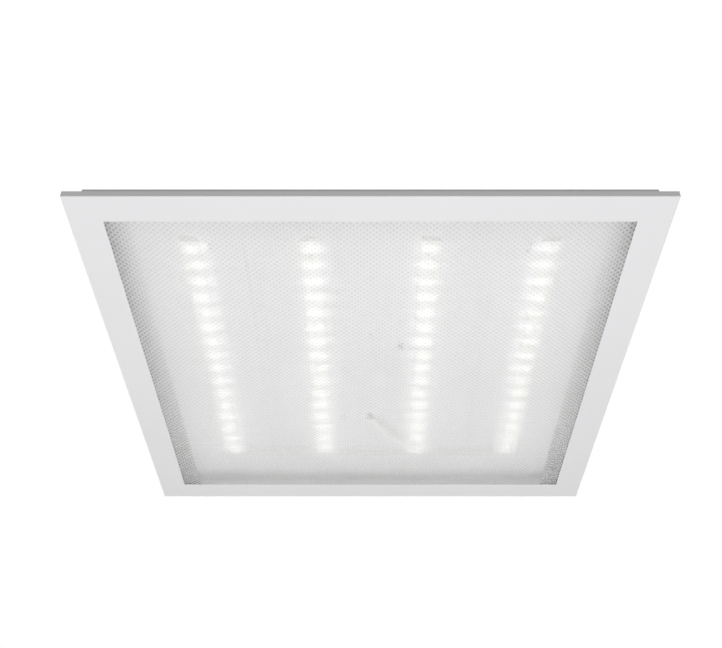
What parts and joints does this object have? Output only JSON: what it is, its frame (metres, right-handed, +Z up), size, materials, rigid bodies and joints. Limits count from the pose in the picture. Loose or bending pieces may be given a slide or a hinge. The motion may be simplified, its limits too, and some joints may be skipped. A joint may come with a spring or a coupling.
{
  "type": "recessed troffer light",
  "caption": "Square recessed ceiling light with a white frame, prismatic lens, rows of LEDs in a shallow tray, a rear driver box with hinged cover and swing-out grid clips.",
  "frame": {"origin": "centre of the frame's face, at its lowest plane", "axes": "+Z up into the ceiling, face down; LED boards along Y; mains inlet towards -Y"},
  "size_m": [0.595, 0.595, 0.062],
  "materials": {
    "frame_paint": "satin white powder coat",
    "tray_paint": "satin white powder coat",
    "lens_plastic": "clear prismatic sheet",
    "gasket_foam": "white closed-cell foam",
    "galvanised_steel": "zinc coated",
    "zinc_screw": "bright zinc",
    "board_mask": "white solder mask",
    "led_phosphor": "emissive when lit",
    "white_nylon": "moulded",
    "aluminium_rivet": "bright",
    "driver_plastic": "fine moulded grain",
    "circuit_board": "green solder mask",
    "ferrite": "matt",
    "copper_winding": "enamelled",
    "capacitor_can": "shrink sleeve",
    "terminal_white": "moulded",
    "button_orange": "moulded",
    "brass_clamp": "bright",
    "inlet_rubber": "matt grey",
    "lead_brown": "PVC",
    "lead_blue": "PVC",
    "lead_green": "PVC",
    "lead_white": "PVC"
  },
  "bodies": {
    "light": {"front_frame": "frame_paint", "prismatic_lens": "lens_plastic", "lens_gasket": "gasket_foam", "back_tray": "tray_paint", "frame_cleats": "galvanised_steel", "frame_screws": "zinc_screw", "board_rivets": "white_nylon", "board_connectors": "white_nylon", "driver_box": "tray_paint", "cover_nut": "zinc_screw", "box_rivets": "aluminium_rivet", "inlet_grommet": "inlet_rubber", "tray_grommet": "inlet_rubber", "driver_case": "driver_plastic", "driver_lid": "driver_plastic", "driver_board": "circuit_board", "driver_transformer": "copper_winding", "driver_choke": "ferrite", "driver_capacitors": "capacitor_can", "driver_screws": "zinc_screw", "terminal_block": "terminal_white", "terminal_clamps": "brass_clamp", "earth_stud": "zinc_screw", "earth_nut": "zinc_screw", "earth_lug": "zinc_screw", "live_lead": "lead_brown", "neutral_lead": "lead_blue", "earth_lead": "lead_green", "output_leads": "lead_white", "jumper_leads": "lead_white", "hanger_brackets": "galvanised_steel", "hanger_rivets": "aluminium_rivet", "clip_pivots": "aluminium_rivet", "led_board_1": "board_mask", "led_row_1": "led_phosphor", "led_board_2": "board_mask", "led_row_2": "led_phosphor", "led_board_3": "board_mask", "led_row_3": "led_phosphor", "led_board_4": "board_mask", "led_row_4": "led_phosphor"},
    "cover": {"box_cover": "tray_paint", "hinge_pin": "zinc_screw"},
    "closing_screw": {"cover_screw": "zinc_screw"},
    "button_1": {"terminal_button_1": "button_orange"},
    "button_2": {"terminal_button_2": "button_orange"},
    "button_3": {"terminal_button_3": "button_orange"},
    "clip_1": {"grid_clip_1": "galvanised_steel"},
    "clip_2": {"grid_clip_2": "galvanised_steel"},
    "clip_3": {"grid_clip_3": "galvanised_steel"},
    "clip_4": {"grid_clip_4": "galvanised_steel"}
  },
  "joints": [
    {"name": "cover_hinge", "type": "hinge", "parent": "light", "child": "cover", "pos_m": [-0.0478, 0, 0.0546], "axis": [0, -1, 0], "range_deg": [0, 110]},
    {"name": "closing_screw_turn", "type": "hinge", "parent": "cover", "child": "closing_screw", "pos_m": [0.037, 0, 0.057], "axis": [0, 0, 1], "continuous": true},
    {"name": "button_1_press", "type": "slide", "parent": "light", "child": "button_1", "axis": [0, 0, -1], "range_m": [0, 0.002], "stiffness_N_per_m": 1500, "springref_m": -0.0005},
    {"name": "button_2_press", "type": "slide", "parent": "light", "child": "button_2", "axis": [0, 0, -1], "range_m": [0, 0.002], "stiffness_N_per_m": 1500, "springref_m": -0.0005},
    {"name": "button_3_press", "type": "slide", "parent": "light", "child": "button_3", "axis": [0, 0, -1], "range_m": [0, 0.002], "stiffness_N_per_m": 1500, "springref_m": -0.0005},
    {"name": "clip_1_swing", "type": "hinge", "parent": "light", "child": "clip_1", "pos_m": [-0.272, -0.19, 0.025], "axis": [0, 0, 1], "range_deg": [0, 90]},
    {"name": "clip_2_swing", "type": "hinge", "parent": "light", "child": "clip_2", "pos_m": [0.272, -0.19, 0.025], "axis": [0, 0, -1], "range_deg": [0, 90]},
    {"name": "clip_3_swing", "type": "hinge", "parent": "light", "child": "clip_3", "pos_m": [-0.272, 0.19, 0.025], "axis": [0, 0, -1], "range_deg": [0, 90]},
    {"name": "clip_4_swing", "type": "hinge", "parent": "light", "child": "clip_4", "pos_m": [0.272, 0.19, 0.025], "axis": [0, 0, 1], "range_deg": [0, 90]}
  ]
}
